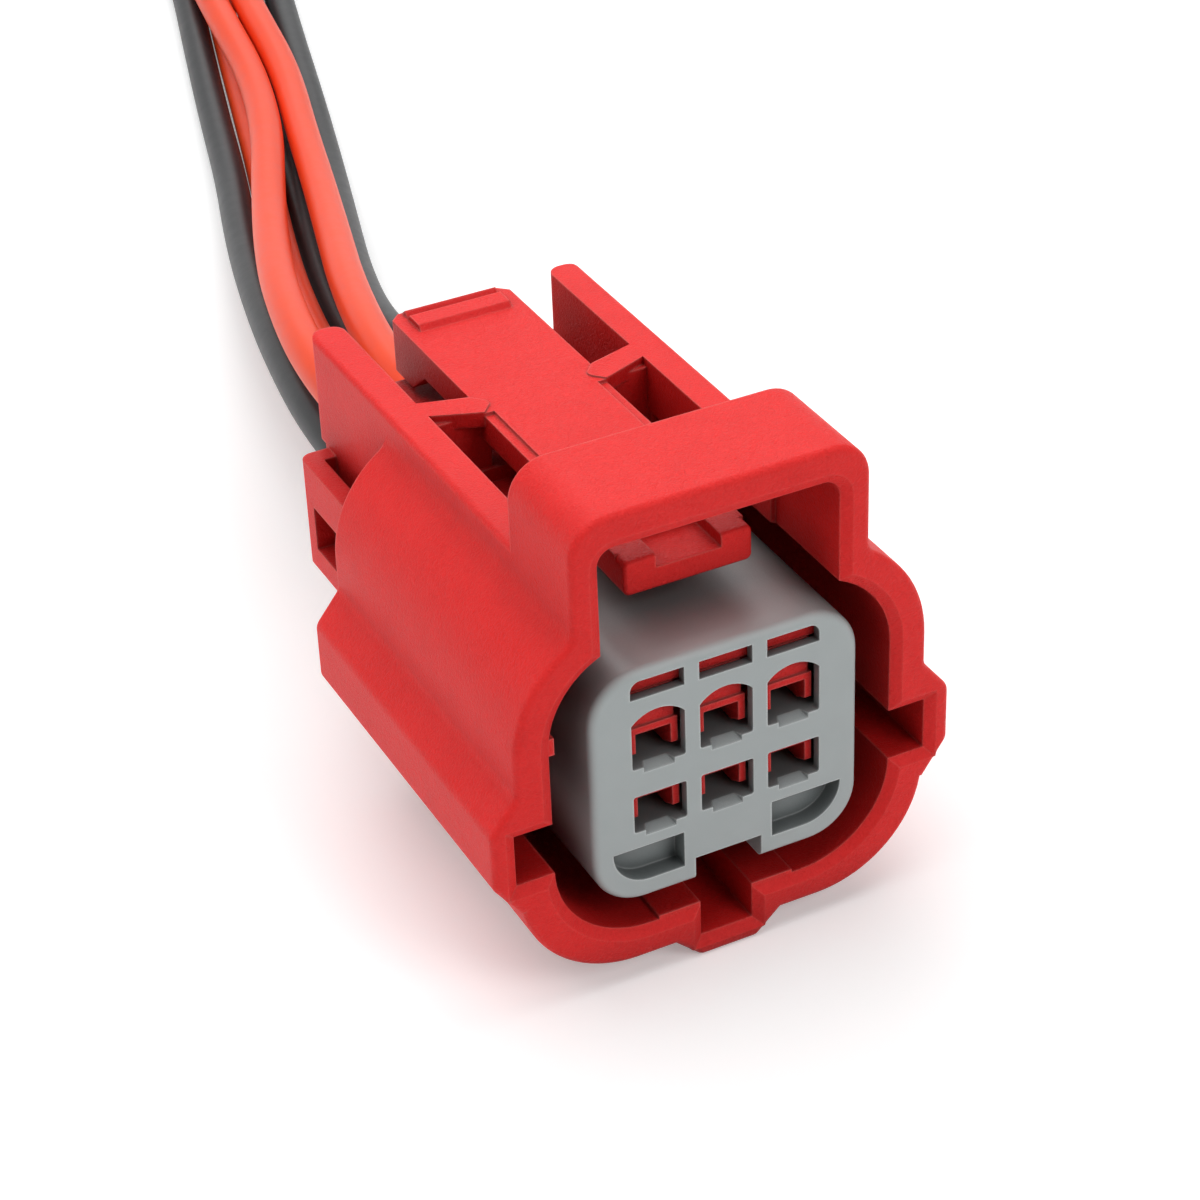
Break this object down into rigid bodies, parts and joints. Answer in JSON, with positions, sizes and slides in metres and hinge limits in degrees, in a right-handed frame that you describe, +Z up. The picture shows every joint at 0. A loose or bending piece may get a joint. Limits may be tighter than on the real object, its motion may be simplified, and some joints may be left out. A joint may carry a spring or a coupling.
{
  "type": "prewired connector plug",
  "caption": "Sealed rectangular connector plug in red plastic with a latch lever under a hood, a grey front retainer and free wire leads.",
  "frame": {"origin": "on the surface the plug stands on, under the middle of the moulding: the middle of the foot key's underside", "axes": "+X across the mating face to its right as seen from the front, +Y from the mating face to the wires, +Z up to the latch hood"},
  "size_m": [0.0561, 0.1807, 0.0311],
  "materials": {
    "housing_red": "fine satin grain",
    "retainer_grey": "satin",
    "seal_rubber": "matte silicone",
    "terminal_metal": "stamped strip, bright",
    "insulation_black": "soft sheen",
    "insulation_red": "soft sheen",
    "copper": "bare stranded copper"
  },
  "bodies": {
    "root": {"housing": "housing_red", "rear_body": "housing_red", "terminal_tower": "housing_red", "latch_lever": "housing_red", "front_retainer": "retainer_grey", "perimeter_seal": "seal_rubber", "wire_seal": "seal_rubber", "rear_cover": "housing_red", "terminal_1": "terminal_metal", "wire_1": "insulation_black", "bare_end_1": "copper", "terminal_2": "terminal_metal", "wire_2": "insulation_red", "bare_end_2": "copper", "terminal_3": "terminal_metal", "wire_3": "insulation_black", "bare_end_3": "copper", "terminal_4": "terminal_metal", "wire_4": "insulation_red", "bare_end_4": "copper", "terminal_5": "terminal_metal", "wire_5": "insulation_red", "bare_end_5": "copper", "terminal_6": "terminal_metal", "wire_6": "insulation_black", "bare_end_6": "copper"}
  },
  "joints": []
}
